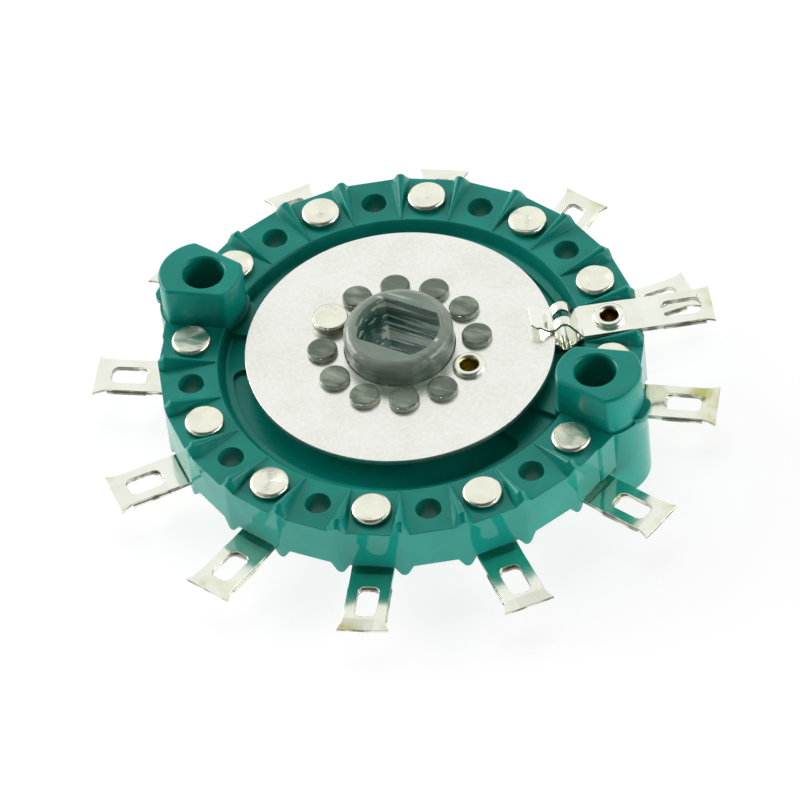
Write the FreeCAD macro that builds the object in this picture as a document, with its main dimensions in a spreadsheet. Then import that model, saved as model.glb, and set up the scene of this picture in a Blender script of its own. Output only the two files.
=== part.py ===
import FreeCAD, Part
import math
import os
import Sketcher

Vector = FreeCAD.Vector
Rotation = FreeCAD.Rotation
Placement = FreeCAD.Placement

# Rotary wafer switch: one deck of a multi-deck selector.
# Origin on the rotor axis, in the plane of the lower seating faces of the two bosses.
# +Z up, +X through the tie-rod bore nearest the common contact.

DIMENSIONS = {
    # moulded ring
    "ring_corner_radius": 17.4,
    "ring_thickness": 3.35,
    "ring_rim_radius": 13.05,
    "ring_floor_radius": 12.65,
    "rim_chamfer": 0.12,
    "cell_count": 24,
    "wall_foot_round": 0.3,
    "web_thickness": 1.45,
    "web_hole_clearance": 0.2,
    "web_recess_depth": 0.35,
    "web_recess_inner_radius": 8.6,
    "web_recess_outer_radius": 12.1,
    "web_recess_end_angle": 22.5,
    "web_recess_end_round": 0.8,
    # cells, rivet holes and the ridges between cells
    "pitch_radius": 15.1,
    "rivet_hole_radius": 0.93,
    "ridge_start_radius": 13.3,
    "ridge_peak_radius": 16.9,
    "ridge_height": 0.95,
    "high_ridge_rim_height": 0.4,
    "low_ridge_rim_height": 0.8,
    "ridge_width": 1.5,
    "ridge_crest_radius": 0.36,
    "ridge_start_share": 0.1,
    "ridge_root_depth": 0.1,
    "ridge_overrun": 0.3,
    # bosses for the tie rods
    "boss_height": 10.0,
    "tie_bore_radius": 1.5,
    "tie_bore_chamfer": 0.12,
    "boss_radius": 3.05,
    "boss_foot_radius": 3.25,
    "boss_shift": 0.25,
    "boss_flat_distance": 2.2,
    "boss_flat_tilt": 12.0,
    "boss_corner_round": 0.5,
    "boss_edge_round": 0.25,
    "ear_step": 0.14,
    "ear_half_angle": 14.6,
    "ear_end_round": 0.5,
    "block_half_angle": 7.5,
    "block_inner_radius": 10.2,
    "block_drop": 0.55,
    "gate_width": 2.2,
    "gate_height": 0.45,
    "gate_reach": 0.35,
    "gate_round": 0.7,
    # contact leaves, measured from the cell floor that they are riveted to
    "terminal_count": 12,
    "terminal_first_angle": 15.0,
    "common_angle": 30.0,
    "leaf_thickness": 0.2,
    "leaf_width": 3.0,
    "finger_width": 2.3,
    "finger_shoulder_radius": 13.05,
    "finger_bend_radius": 12.8,
    "far_crest_radius": 11.82,
    "far_crest_rise": 0.77,
    "near_crest_radius": 11.62,
    "near_crest_rise": 1.32,
    "finger_contact_radius": 10.85,
    "finger_tail_radius": 10.1,
    "finger_tail_rise": 0.5,
    "finger_end_radius": 9.4,
    "finger_end_rise": 0.64,
    "finger_end_chamfer": 0.35,
    "finger_bend_round": 0.5,
    "finger_slot_length": 1.3,
    "finger_slot_width": 0.64,
    "finger_slot_centre_radius": 11.68,
    "wiping_gap": 0.08,
    # solder lugs
    "lug_slot_outer_radius": 21.7,
    "lug_slot_length": 2.45,
    "lug_slot_width": 1.55,
    "lug_slot_round": 0.5,
    "lug_slot_stagger": 0.15,
    "lug_flare_lead": 0.1,
    "lug_flare_length": 1.35,
    "lug_tip_width": 3.7,
    "common_lug_flare_length": 0.9,
    "common_lug_tip_width": 3.5,
    "spring_lug_margin": 0.2,
    "spring_lug_lead": 0.1,
    "spring_lug_width": 3.16,
    # rivets and the eyelet in the ring
    "rivet_clearance": 0.05,
    "rivet_head_radius": 1.42,
    "rivet_head_height": 0.52,
    "rivet_head_round": 0.14,
    "rivet_tail_radius": 1.3,
    "rivet_tail_height": 0.4,
    "eyelet_flange_radius": 1.2,
    "eyelet_flange_height": 0.35,
    "eyelet_hole_radius": 0.62,
    "eyelet_roll": 0.16,
    # rotor
    "rotor_angle": -4.0,
    "rotor_seat_height": 4.05,
    "hub_radius": 3.95,
    "hub_top_height": 2.45,
    "hub_top_round": 0.7,
    "hub_bottom_height": 1.25,
    "hub_bottom_round": 0.2,
    "flange_radius": 8.2,
    "flange_clearance": 0.05,
    "core_radius": 7.0,
    "shaft_bore_radius": 3.0,
    "shaft_flats_width": 4.3,
    "peg_count": 12,
    "peg_pitch_radius": 5.53,
    "peg_shank_radius": 0.9,
    "peg_head_radius": 1.1,
    "peg_head_height": 0.45,
    "peg_hole_clearance": 0.04,
    "disc_radius": 11.09,
    "disc_thickness": 0.45,
    "disc_hole_clearance": 0.05,
    "blade_radius": 8.4,
    "blade_nose_half_angle": 6.5,
    "blade_nose_position": 75.0,
    "rotor_rivet_radius": 1.3,
    "rotor_rivet_height": 0.75,
    "rotor_rivet_round": 0.1,
    "rotor_fastener_shank_radius": 0.85,
}

os.makedirs("parts", exist_ok=True)
doc = FreeCAD.newDocument("rotary_wafer_switch")
sheet = doc.addObject("Spreadsheet::Sheet", "Dims")
for row, (alias, value) in enumerate(DIMENSIONS.items(), start=1):
    sheet.set("A%d" % row, alias)
    sheet.set("B%d" % row, str(value))
    sheet.setAlias("B%d" % row, alias)
doc.recompute()


def size(alias):
    """A driving dimension, read back from the sheet."""
    return float(sheet.get(alias))


# Levels along the axis and reaches of the lugs, worked out from the driving dimensions
middle = size("boss_height") / 2
ring_top = middle + size("ring_thickness") / 2
ring_bottom = middle - size("ring_thickness") / 2
web_top = middle + size("web_thickness") / 2
web_bottom = middle - size("web_thickness") / 2
seat_top = middle + size("rotor_seat_height") / 2
seat_bottom = middle - size("rotor_seat_height") / 2
cell_angle = 360 / size("cell_count")
slot_outer = size("lug_slot_outer_radius")
slot_inner = slot_outer - size("lug_slot_length")
flare_start = slot_outer - size("lug_flare_lead")


def polar(radius, angle):
    """A point of a plan view from its radius and its angle in degrees."""
    turn = math.radians(angle)
    return Vector(radius * math.cos(turn), radius * math.sin(turn), 0)


def new_body(label, angle=0.0, height=0.0, radius=0.0, flipped=False):
    """A body turned about the axis, moved out to a radius and up, and turned over if asked."""
    body = doc.addObject("PartDesign::Body", label)
    body.Label = label
    turn = Rotation(Vector(0, 0, 1), angle)
    if flipped:
        turn = turn.multiply(Rotation(Vector(1, 0, 0), 180))
    place = polar(radius, angle)
    place.z = height
    body.Placement = Placement(place, turn)
    return body


def origin_plane(body, role):
    """One of the body's own origin planes or axes."""
    for feature in body.Origin.OriginFeatures:
        if feature.Role == role:
            return feature
    raise ValueError(role)


def new_sketch(body, name, role="XY_Plane", offset=None):
    """An empty sketch on an origin plane, shifted and turned by the offset."""
    sketch = body.newObject("Sketcher::SketchObject", name)
    sketch.AttachmentSupport = [(origin_plane(body, role), "")]
    sketch.MapMode = "FlatFace"
    if offset is not None:
        sketch.AttachmentOffset = offset
    return sketch


def level(height):
    """The offset of a sketch that lies flat at a height."""
    return Placement(Vector(0, 0, height), Rotation())


def add_circle(sketch, centre, alias, expression=None, radius=None):
    """A circle whose radius is bound to the sheet."""
    value = size(alias) if radius is None else radius
    index = sketch.addGeometry(Part.Circle(centre, Vector(0, 0, 1), value))
    number = sketch.addConstraint(Sketcher.Constraint("Radius", index, value))
    sketch.setExpression("Constraints[%d]" % number, expression or "Dims." + alias)


def add_polygon(sketch, points):
    """A closed outline of straight edges."""
    for start, end in zip(points, points[1:] + points[:1]):
        sketch.addGeometry(Part.LineSegment(Vector(*start[:2], 0), Vector(*end[:2], 0)))


def rounded_corners(points, radii):
    """Lines and arcs of a closed outline whose corners have the given radii."""
    count = len(points)
    entries = []
    exits = []
    arcs = []
    for index, (corner, radius) in enumerate(zip(points, radii)):
        back = (points[index - 1] - corner).normalize()
        ahead = (points[(index + 1) % count] - corner).normalize()
        half = back.getAngle(ahead) / 2
        reach = radius / math.tan(half) if radius else 0.0
        entries.append(corner + back * reach)
        exits.append(corner + ahead * reach)
        if radius:
            inward = (back + ahead).normalize()
            centre = corner + inward * (radius / math.sin(half))
            arcs.append(Part.Arc(entries[-1], centre - inward * radius, exits[-1]))
    lines = [
        Part.LineSegment(exits[index], entries[(index + 1) % count])
        for index in range(count)
    ]
    return lines + arcs


def bent_strip(points, thickness, bend_round):
    """The side outline of a strip of even thickness that follows a line and bends at its points."""
    ends = []
    arcs = []
    for index, corner in enumerate(points):
        back = (points[max(index - 1, 0)] - points[max(index, 1)]).normalize()
        last = len(points) - 1
        ahead = (points[min(index + 1, last)] - points[min(index, last - 1)]).normalize()
        side = Vector(-ahead.y, ahead.x, 0)
        if index in (0, last):
            ends.append((corner, corner, side))
            continue
        half = back.getAngle(ahead) / 2
        reach = bend_round / math.tan(half)
        inward = (back + ahead).normalize()
        centre = corner + inward * (bend_round / math.sin(half))
        back_side = Vector(back.y, -back.x, 0)
        ends.append((corner + back * reach, corner + ahead * reach, side, back_side))
        for shift in (-thickness / 2, thickness / 2):
            radius = bend_round + shift * (1 if inward.dot(side) < 0 else -1)
            start = corner + back * reach + back_side * shift
            end = corner + ahead * reach + side * shift
            arcs.append(Part.Arc(start, centre - inward * radius, end))
    lines = []
    for shift in (-thickness / 2, thickness / 2):
        for before, after in zip(ends, ends[1:]):
            side = before[2]
            lines.append(Part.LineSegment(before[1] + side * shift, after[0] + side * shift))
    for point, _, side in (ends[0], ends[-1]):
        lines.append(Part.LineSegment(point - side * thickness / 2, point + side * thickness / 2))
    return lines + arcs


def pad(body, sketch, name, expression, symmetric=False):
    """A pad whose length is bound to the sheet."""
    feature = body.newObject("PartDesign::Pad", name)
    feature.Profile = sketch
    feature.setExpression("Length", expression)
    if symmetric:
        feature.SideType = "Symmetric"
    return feature


def pocket(body, sketch, name, expression=None):
    """A pocket downwards from its sketch, through everything unless it has a depth."""
    feature = body.newObject("PartDesign::Pocket", name)
    feature.Profile = sketch
    if expression is None:
        feature.Type = "ThroughAll"
    else:
        feature.setExpression("Length", expression)
    return feature


def turned(body, sketch, name, kind="PartDesign::Revolution"):
    """A full turn of an upright sketch about the body's own axis."""
    feature = body.newObject(kind, name)
    feature.Profile = sketch
    feature.ReferenceAxis = (sketch, ["V_Axis"])
    feature.Angle = 360
    return feature


def dress(body, kind, name, base, edges, expression):
    """A fillet or chamfer on the edges that a test picks from the base feature."""
    doc.recompute()
    picked = [
        "Edge%d" % number
        for number, edge in enumerate(base.Shape.Edges, start=1)
        if edges(edge)
    ]
    feature = body.newObject(kind, name)
    feature.Base = (base, picked)
    feature.setExpression("Radius" if kind.endswith("Fillet") else "Size", expression)
    return feature


# The moulded ring

def boss_outline(side, radius):
    """The plan of one boss: a round with two flats, its corners rounded."""
    centre = Vector(size("pitch_radius") + size("boss_shift"), 0, 0)
    corner = size("boss_corner_round")
    slope = math.radians(size("boss_flat_tilt"))
    direction = Vector(math.cos(slope), math.sin(slope), 0)
    outward = Vector(-direction.y, direction.x, 0)
    foot = Vector(size("pitch_radius"), 0, 0) + outward * size("boss_flat_distance")
    along = (centre - foot).dot(direction)
    depth = size("boss_flat_distance") - (centre - Vector(size("pitch_radius"), 0, 0)).dot(outward)
    span = math.sqrt((radius - corner) ** 2 - (depth - corner) ** 2)
    halves = []
    for end in (span, -span):
        middle_point = foot + direction * (along + end) - outward * corner
        on_flat = middle_point + outward * corner
        ray = (middle_point - centre).normalize()
        on_round = centre + ray * radius
        halfway = middle_point + (outward + ray).normalize() * corner
        halves.append((on_flat, halfway, on_round))
    (flat_out, bend_out, round_out), (flat_in, bend_in, round_in) = halves

    def flip(point):
        return Vector(point.x, -point.y, 0)

    edges = [
        (flat_out, None, flat_in),
        (flat_out, bend_out, round_out),
        (flat_in, bend_in, round_in),
        (flip(flat_out), None, flip(flat_in)),
        (flip(flat_out), flip(bend_out), flip(round_out)),
        (flip(flat_in), flip(bend_in), flip(round_in)),
        (round_out, centre + Vector(radius, 0, 0), flip(round_out)),
        (round_in, centre - Vector(radius, 0, 0), flip(round_in)),
    ]
    outline = []
    for start, through, end in edges:
        if through is None:
            outline.append(Part.LineSegment(start * side, end * side))
        else:
            outline.append(Part.Arc(start * side, through * side, end * side))
    return outline


def ridge_section(sketch, width, crest, height, root):
    """One cross-section of a ridge with a round crest, sunk a little into the ring below it."""
    foot = Vector(width / 2, -root, 0)
    centre = Vector(0, height - crest, 0)
    to_foot = foot - centre
    turn = math.atan2(to_foot.y, to_foot.x) + math.acos(crest / to_foot.Length)
    touch = Vector(crest * math.cos(turn), centre.y + crest * math.sin(turn), 0)
    far_foot = Vector(-foot.x, foot.y, 0)
    far_touch = Vector(-touch.x, touch.y, 0)
    sketch.addGeometry(Part.LineSegment(far_foot, foot))
    sketch.addGeometry(Part.LineSegment(foot, touch))
    sketch.addGeometry(Part.Arc(touch, Vector(0, height, 0), far_touch))
    sketch.addGeometry(Part.LineSegment(far_touch, far_foot))


def ridge_loft(body, name, angle, floor, upward, rim_height):
    """One ridge that grows from a point near the bore to its peak and slants down past the wall."""
    peak = size("ridge_height")
    peak_radius = size("ridge_peak_radius")
    corner = size("ring_corner_radius")
    overrun = size("ridge_overrun")
    start = size("ridge_start_share")
    slant = (rim_height - peak) / (corner - peak_radius)
    stations = (
        (size("ridge_start_radius"), start, peak * start),
        (peak_radius, 1.0, peak),
        (corner + overrun, 1.0, rim_height + slant * overrun),
    )
    width = size("ridge_width")
    crest = size("ridge_crest_radius")
    sections = []
    for number, (radius, share, height) in enumerate(stations):
        place = polar(radius, angle)
        place.z = floor
        across = Rotation(polar(1, angle + 90), Vector(0, 0, upward), polar(upward, angle), "ZXY")
        sketch = new_sketch(body, "%s_section_%d" % (name, number), offset=Placement(place, across))
        ridge_section(sketch, width * share, crest * share, height, size("ridge_root_depth"))
        sections.append(sketch)
    loft = body.newObject("PartDesign::AdditiveLoft", name)
    loft.Profile = sections[0]
    loft.Sections = sections[1:]
    loft.Ruled = True
    return loft


def bore_outline():
    """The section of the bore: both sides of the web, its hole and the recess under it."""
    chamfer = size("rim_chamfer")
    rim = size("ring_rim_radius")
    hole = size("core_radius") + size("web_hole_clearance")
    recess_floor = web_bottom + size("web_recess_depth")
    recess_in = size("web_recess_inner_radius")
    recess_out = size("web_recess_outer_radius")
    foot = size("wall_foot_round")
    corners = [
        (hole, web_top, 0),
        (size("ring_floor_radius"), web_top, foot),
        (rim, ring_top - chamfer, 0),
        (rim + chamfer, ring_top, 0),
        (rim + chamfer, ring_top + chamfer, 0),
        (0, ring_top + chamfer, 0),
        (0, ring_bottom - chamfer, 0),
        (rim + chamfer, ring_bottom - chamfer, 0),
        (rim + chamfer, ring_bottom, 0),
        (rim, ring_bottom + chamfer, 0),
        (size("ring_floor_radius"), web_bottom, foot),
        (recess_out, web_bottom, 0),
        (recess_out, recess_floor, 0),
        (recess_in, recess_floor, 0),
        (recess_in, web_bottom, 0),
        (hole, web_bottom, 0),
    ]
    points = [Vector(radius, height, 0) for radius, height, _ in corners]
    return rounded_corners(points, [soft for _, _, soft in corners])


def recess_outline(side):
    """The plan of the upper recess between two bosses: a band with rounded outer corners."""
    inner = size("web_recess_inner_radius")
    outer = size("web_recess_outer_radius")
    corner = size("web_recess_end_round")
    end = size("web_recess_end_angle")
    turn = math.degrees(math.asin(corner / (outer - corner)))
    reach = (outer - corner) * math.cos(math.radians(turn))
    low, high = side + end, side + 180 - end
    edges = [
        Part.Arc(polar(inner, low), polar(inner, side + 90), polar(inner, high)),
        Part.Arc(polar(outer, low + turn), polar(outer, side + 90), polar(outer, high - turn)),
    ]
    for angle, inward in ((low, 1), (high, -1)):
        centre = polar(outer - corner, angle + inward * turn)
        halfway = centre + polar(corner, angle + inward * (turn - 90) / 2)
        edges.append(Part.LineSegment(polar(inner, angle), polar(reach, angle)))
        edges.append(Part.Arc(polar(reach, angle), halfway, polar(outer, angle + inward * turn)))
    return edges


def build_stator():
    """The green moulding: ring, web, bosses, ridges and all its holes."""
    body = new_body("stator_body")
    corner_count = int(size("cell_count"))
    ring_corners = [
        polar(size("ring_corner_radius"), (number + 0.5) * cell_angle)
        for number in range(corner_count)
    ]
    outline = new_sketch(body, "ring_outline", offset=level(ring_bottom))
    add_polygon(outline, ring_corners)
    pad(body, outline, "ring", "Dims.ring_thickness")

    bore = new_sketch(body, "bore_section", "XZ_Plane")
    for edge in bore_outline():
        bore.addGeometry(edge)
    turned(body, bore, "bore", "PartDesign::Groove")

    free_cells = corner_count // 2 - 2
    for number, angle in enumerate((0, 180)):
        first = 1.5 * cell_angle + angle
        originals = [
            ridge_loft(
                body, "low_ridge_%d" % number, first, ring_bottom, -1, size("low_ridge_rim_height")),
            ridge_loft(
                body, "high_ridge_%d" % number, first, ring_top, 1, size("high_ridge_rim_height")),
        ]
        pattern = body.newObject("PartDesign::PolarPattern", "ridges_%d" % number)
        pattern.Originals = originals
        pattern.Axis = (origin_plane(body, "Z_Axis"), [""])
        pattern.Angle = (free_cells - 1) * cell_angle
        pattern.Occurrences = free_cells
        body.Tip = pattern

    trim = new_sketch(body, "ridge_trim_outline", offset=level(ring_top + size("ridge_height")))
    add_polygon(trim, ring_corners)
    around = size("ring_corner_radius") + 2 * size("ridge_overrun")
    add_circle(
        trim, Vector(0, 0, 0), "ring_corner_radius",
        "Dims.ring_corner_radius + 2 * Dims.ridge_overrun", around)
    pocket(body, trim, "ridge_trim")

    rim = size("ring_rim_radius") + size("rim_chamfer")
    blocks = new_sketch(body, "block_outline", offset=level(web_top))
    for side in (0, 180):
        inner = size("block_inner_radius")
        half = size("block_half_angle")
        low, high = polar(inner, side - half), polar(inner, side + half)
        low_out, high_out = polar(rim, side - half), polar(rim, side + half)
        blocks.addGeometry(Part.Arc(low, polar(inner, side), high))
        blocks.addGeometry(Part.LineSegment(high, high_out))
        blocks.addGeometry(Part.LineSegment(high_out, low_out))
        blocks.addGeometry(Part.LineSegment(low_out, low))
    block_height = "Dims.ring_thickness / 2 - Dims.web_thickness / 2 - Dims.block_drop"
    pad(body, blocks, "blocks", block_height)

    ears = new_sketch(body, "ear_outline", offset=level(ring_bottom))
    facet = size("ring_corner_radius") * math.cos(math.radians(cell_angle / 2))
    face = facet + size("ear_step")
    root = facet - 2 * size("ear_end_round")
    spin = Rotation(Vector(0, 0, 1), cell_angle)
    first = face * math.tan(math.radians(size("block_half_angle") - cell_angle))
    last = face * math.tan(math.radians(size("ear_half_angle") - cell_angle))
    ear = [
        spin.multVec(Vector(*corner, 0))
        for corner in ((face, first), (face, last), (root, last), (root, first))
    ]
    for side in (1, -1):
        for turn in (1, -1):
            points = [Vector(side * point.x, side * turn * point.y, 0) for point in ear]
            for edge in rounded_corners(points, (0, size("ear_end_round"), 0, 0)):
                ears.addGeometry(edge)
    pad(body, ears, "ears", "Dims.ring_thickness")

    feet = new_sketch(body, "boss_foot_outline")
    bosses = new_sketch(body, "boss_outline", offset=level(ring_top))
    for side in (1, -1):
        for edge in boss_outline(side, size("boss_foot_radius")):
            feet.addGeometry(edge)
        for edge in boss_outline(side, size("boss_radius")):
            bosses.addGeometry(edge)
    pad(body, feet, "boss_feet", "Dims.boss_height / 2 + Dims.ring_thickness / 2")
    pad(body, bosses, "bosses", "Dims.boss_height / 2 - Dims.ring_thickness / 2")

    gates = new_sketch(body, "gate_outline", offset=level(ring_top))
    foot_wall = size("pitch_radius") + size("boss_shift") + size("boss_foot_radius")
    half = size("gate_width") / 2
    tip = foot_wall + size("gate_reach")
    gate_root = foot_wall - size("gate_width") / 2
    for side in (1, -1):
        points = [
            Vector(side * gate_root, -half, 0),
            Vector(side * tip, -half, 0),
            Vector(side * tip, half, 0),
            Vector(side * gate_root, half, 0),
        ]
        for edge in rounded_corners(points, (0, size("gate_round"), size("gate_round"), 0)):
            gates.addGeometry(edge)
    pad(body, gates, "gates", "Dims.gate_height")

    holes = new_sketch(body, "rivet_hole_outline", offset=level(ring_top))
    for number in range(corner_count):
        if number % (corner_count // 2):
            add_circle(holes, polar(size("pitch_radius"), number * cell_angle), "rivet_hole_radius")
    pocket(body, holes, "rivet_holes")

    recess = new_sketch(body, "web_recess_outline", offset=level(web_top))
    for side in (0, 180):
        for edge in recess_outline(side):
            recess.addGeometry(edge)
    pocket(body, recess, "web_recesses", "Dims.web_recess_depth")

    bores = new_sketch(body, "tie_bore_outline", offset=level(size("boss_height")))
    for side in (1, -1):
        add_circle(bores, Vector(side * size("pitch_radius"), 0, 0), "tie_bore_radius")
    bored = pocket(body, bores, "tie_bores")

    def on_end_face(edge):
        box = edge.BoundBox
        flat = box.ZLength < 1e-6
        return flat and min(abs(box.ZMin), abs(box.ZMin - size("boss_height"))) < 1e-6

    def is_bore_rim(edge):
        return on_end_face(edge) and len(edge.Vertexes) == 1

    def is_boss_rim(edge):
        return on_end_face(edge) and len(edge.Vertexes) == 2

    eased = dress(body, "PartDesign::Fillet", "boss_rims", bored, is_boss_rim, "Dims.boss_edge_round")
    dress(body, "PartDesign::Chamfer", "bore_rims", eased, is_bore_rim, "Dims.tie_bore_chamfer")
    return body


# Contact leaves: each clip is a pair riveted back to back

def finger_line(lug_end, layer):
    """The middle line of a leaf, from its lug to the curled end of its finger.

    layer 0 lies on the cell floor and wipes the near face of the moving contact,
    layer 1 lies on layer 0 and wipes the far face.
    """
    thick = size("leaf_thickness")
    near_face = (size("rotor_seat_height") - size("ring_thickness")) / 2
    mid_contact = near_face + size("disc_thickness") / 2
    kind = "far" if layer else "near"
    away = 1 if layer else -1
    touch = size("disc_thickness") / 2 + size("wiping_gap") + thick / 2
    crest = Vector(size(kind + "_crest_radius"), touch + size(kind + "_crest_rise"), 0)
    contact = Vector(size("finger_contact_radius"), touch, 0)
    tail = Vector(size("finger_tail_radius"), touch + size("finger_tail_rise"), 0)
    end = Vector(size("finger_end_radius"), touch + size("finger_end_rise"), 0)

    # the corner of the contact bend lies below the round that wipes
    to_crest = (crest - contact).normalize()
    to_tail = (tail - contact).normalize()
    half = to_crest.getAngle(to_tail) / 2
    lift = (to_crest + to_tail).normalize().y / math.sin(half) - 1
    contact.y -= size("finger_bend_round") * lift

    seat = thick * (layer + 0.5)
    points = [Vector(lug_end, seat, 0), Vector(size("finger_bend_radius"), seat, 0)]
    points += [
        Vector(point.x, mid_contact + away * point.y, 0)
        for point in (crest, contact, tail, end)
    ]
    return points


def slot_edges(inner, outer, width, corner):
    """A slot along the leaf with rounded corners."""
    points = [
        Vector(inner, -width / 2, 0),
        Vector(outer, -width / 2, 0),
        Vector(outer, width / 2, 0),
        Vector(inner, width / 2, 0),
    ]
    return rounded_corners(points, (corner,) * 4)


def finger_plan(layer):
    """Half of the plan of a finger, from its clipped end to the full width of the strip."""
    strip = size("leaf_width") / 2
    finger = size("finger_width") / 2 if layer else strip
    end = size("finger_end_radius")
    chamfer = size("finger_end_chamfer")
    half = [(end, finger - chamfer), (end + chamfer, finger)]
    if layer:
        shoulder = size("finger_shoulder_radius")
        half += [(shoulder - (strip - finger), finger), (shoulder, strip)]
    return half


def spring_lug_plan(lug_end):
    """Half of the plan of the short lug, a little wider than its strip."""
    strip = size("leaf_width") / 2
    step = size("spring_lug_width") / 2 - strip
    start = slot_inner - size("spring_lug_lead")
    return [
        (start, strip),
        (start + step, strip + step),
        (lug_end - step, strip + step),
        (lug_end, strip),
    ]


def flare_arcs(lug_end, tip_width):
    """The hollow curves along which the long lug widens to its tip, on both sides."""
    strip = size("leaf_width") / 2
    length = lug_end - flare_start
    spread = tip_width / 2 - strip
    radius = (length ** 2 + spread ** 2) / (2 * spread)
    halfway = math.asin(length / radius) / 2
    through = (flare_start + radius * math.sin(halfway), strip + radius * (1 - math.cos(halfway)))
    return [
        Part.Arc(
            Vector(flare_start, side * strip, 0),
            Vector(through[0], side * through[1], 0),
            Vector(lug_end, side * tip_width / 2, 0))
        for side in (1, -1)
    ]


def leaf_outline(layer, lug_end, tip_width):
    """The plan of a leaf, with a flared long lug if it has a tip width, else with a short lug."""
    half = finger_plan(layer)
    if tip_width:
        half.append((flare_start, size("leaf_width") / 2))
    else:
        half += spring_lug_plan(lug_end)
    edges = flare_arcs(lug_end, tip_width) if tip_width else []
    if tip_width:
        tip = Vector(lug_end, tip_width / 2, 0)
        edges.append(Part.LineSegment(tip, Vector(tip.x, -tip.y, 0)))
    upper = [Vector(radius, across, 0) for radius, across in half]
    lower = [Vector(point.x, -point.y, 0) for point in upper]
    for row in (upper, lower):
        edges += [Part.LineSegment(start, stop) for start, stop in zip(row, row[1:])]
    edges.append(Part.LineSegment(upper[0], lower[0]))
    if not tip_width:
        edges.append(Part.LineSegment(upper[-1], lower[-1]))
    return edges


def build_leaf(label, angle, height, flipped, layer, lug_end, tip_width=0.0):
    """One spring leaf with its solder lug, rivet hole and formed finger."""
    body = new_body(label, angle, height, flipped=flipped)
    side = new_sketch(body, "side_outline", "XZ_Plane")
    line = finger_line(lug_end, layer)
    for edge in bent_strip(line, size("leaf_thickness"), size("finger_bend_round")):
        side.addGeometry(edge)
    pad(body, side, "strip", "Dims.lug_tip_width", symmetric=True)

    margin = size("leaf_width")
    trim = new_sketch(body, "trim_outline", offset=level(margin))
    add_polygon(trim, [
        (size("finger_end_radius") - margin, -margin),
        (lug_end + margin, -margin),
        (lug_end + margin, margin),
        (size("finger_end_radius") - margin, margin),
    ])
    for edge in leaf_outline(layer, lug_end, tip_width):
        trim.addGeometry(edge)
    add_circle(trim, Vector(size("pitch_radius"), 0, 0), "rivet_hole_radius")
    inner = slot_inner + (0 if tip_width else size("lug_slot_stagger"))
    for edge in slot_edges(inner, slot_outer, size("lug_slot_width"), size("lug_slot_round")):
        trim.addGeometry(edge)
    if layer:
        slot_half = size("finger_slot_length") / 2
        centre = size("finger_slot_centre_radius")
        width = size("finger_slot_width")
        for edge in slot_edges(centre - slot_half, centre + slot_half, width, width * 0.4):
            trim.addGeometry(edge)
    pocket(body, trim, "trim")
    return body


def build_rivet(label, angle):
    """A solid rivet with a flat head on the ring and its clenched tail under the leaves."""
    body = new_body(label, angle, ring_top, size("pitch_radius"))
    shank = size("rivet_hole_radius") - size("rivet_clearance")
    under = -size("ring_thickness") - 2 * size("leaf_thickness")
    head = size("rivet_head_radius")
    tail = size("rivet_tail_radius")
    tail_end = under - size("rivet_tail_height")
    soft = size("rivet_head_round")
    section = new_sketch(body, "section", "XZ_Plane")
    add_polygon(section, [
        (0, size("rivet_head_height")),
        (head - soft, size("rivet_head_height")),
        (head, size("rivet_head_height") - soft),
        (head, 0),
        (shank, 0),
        (shank, under),
        (tail, under),
        (tail, tail_end),
        (0, tail_end),
    ])
    turned(body, section, "rivet")
    return body


def eyelet_section(sketch, shank, top, bottom):
    """The wall of an eyelet with a rolled flange at each end."""
    hole = size("eyelet_hole_radius")
    flange = size("eyelet_flange_radius")
    high = size("eyelet_flange_height")
    roll = size("eyelet_roll")
    add_polygon(sketch, [
        (hole, bottom - high + roll),
        (hole + roll, bottom - high),
        (flange - roll, bottom - high),
        (flange, bottom - high + roll),
        (flange, bottom),
        (shank, bottom),
        (shank, top),
        (flange, top),
        (flange, top + high - roll),
        (flange - roll, top + high),
        (hole + roll, top + high),
        (hole, top + high - roll),
    ])


def build_common_eyelet():
    """The eyelet that holds the common clip on top of the ring."""
    body = new_body("common_eyelet", size("common_angle"), ring_top, size("pitch_radius"))
    section = new_sketch(body, "section", "XZ_Plane")
    shank = size("rivet_hole_radius") - size("rivet_clearance")
    eyelet_section(section, shank, 2 * size("leaf_thickness"), -size("ring_thickness"))
    turned(body, section, "eyelet")
    return body


# Rotor

def fastener_slots():
    """Angles of the peg places: plain pegs, then the rivet and the eyelet across from each other."""
    count = int(size("peg_count"))
    step = 360 / count
    pegs = [number * step for number in range(count) if number % (count // 2)]
    return pegs, 180.0, 0.0


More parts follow.
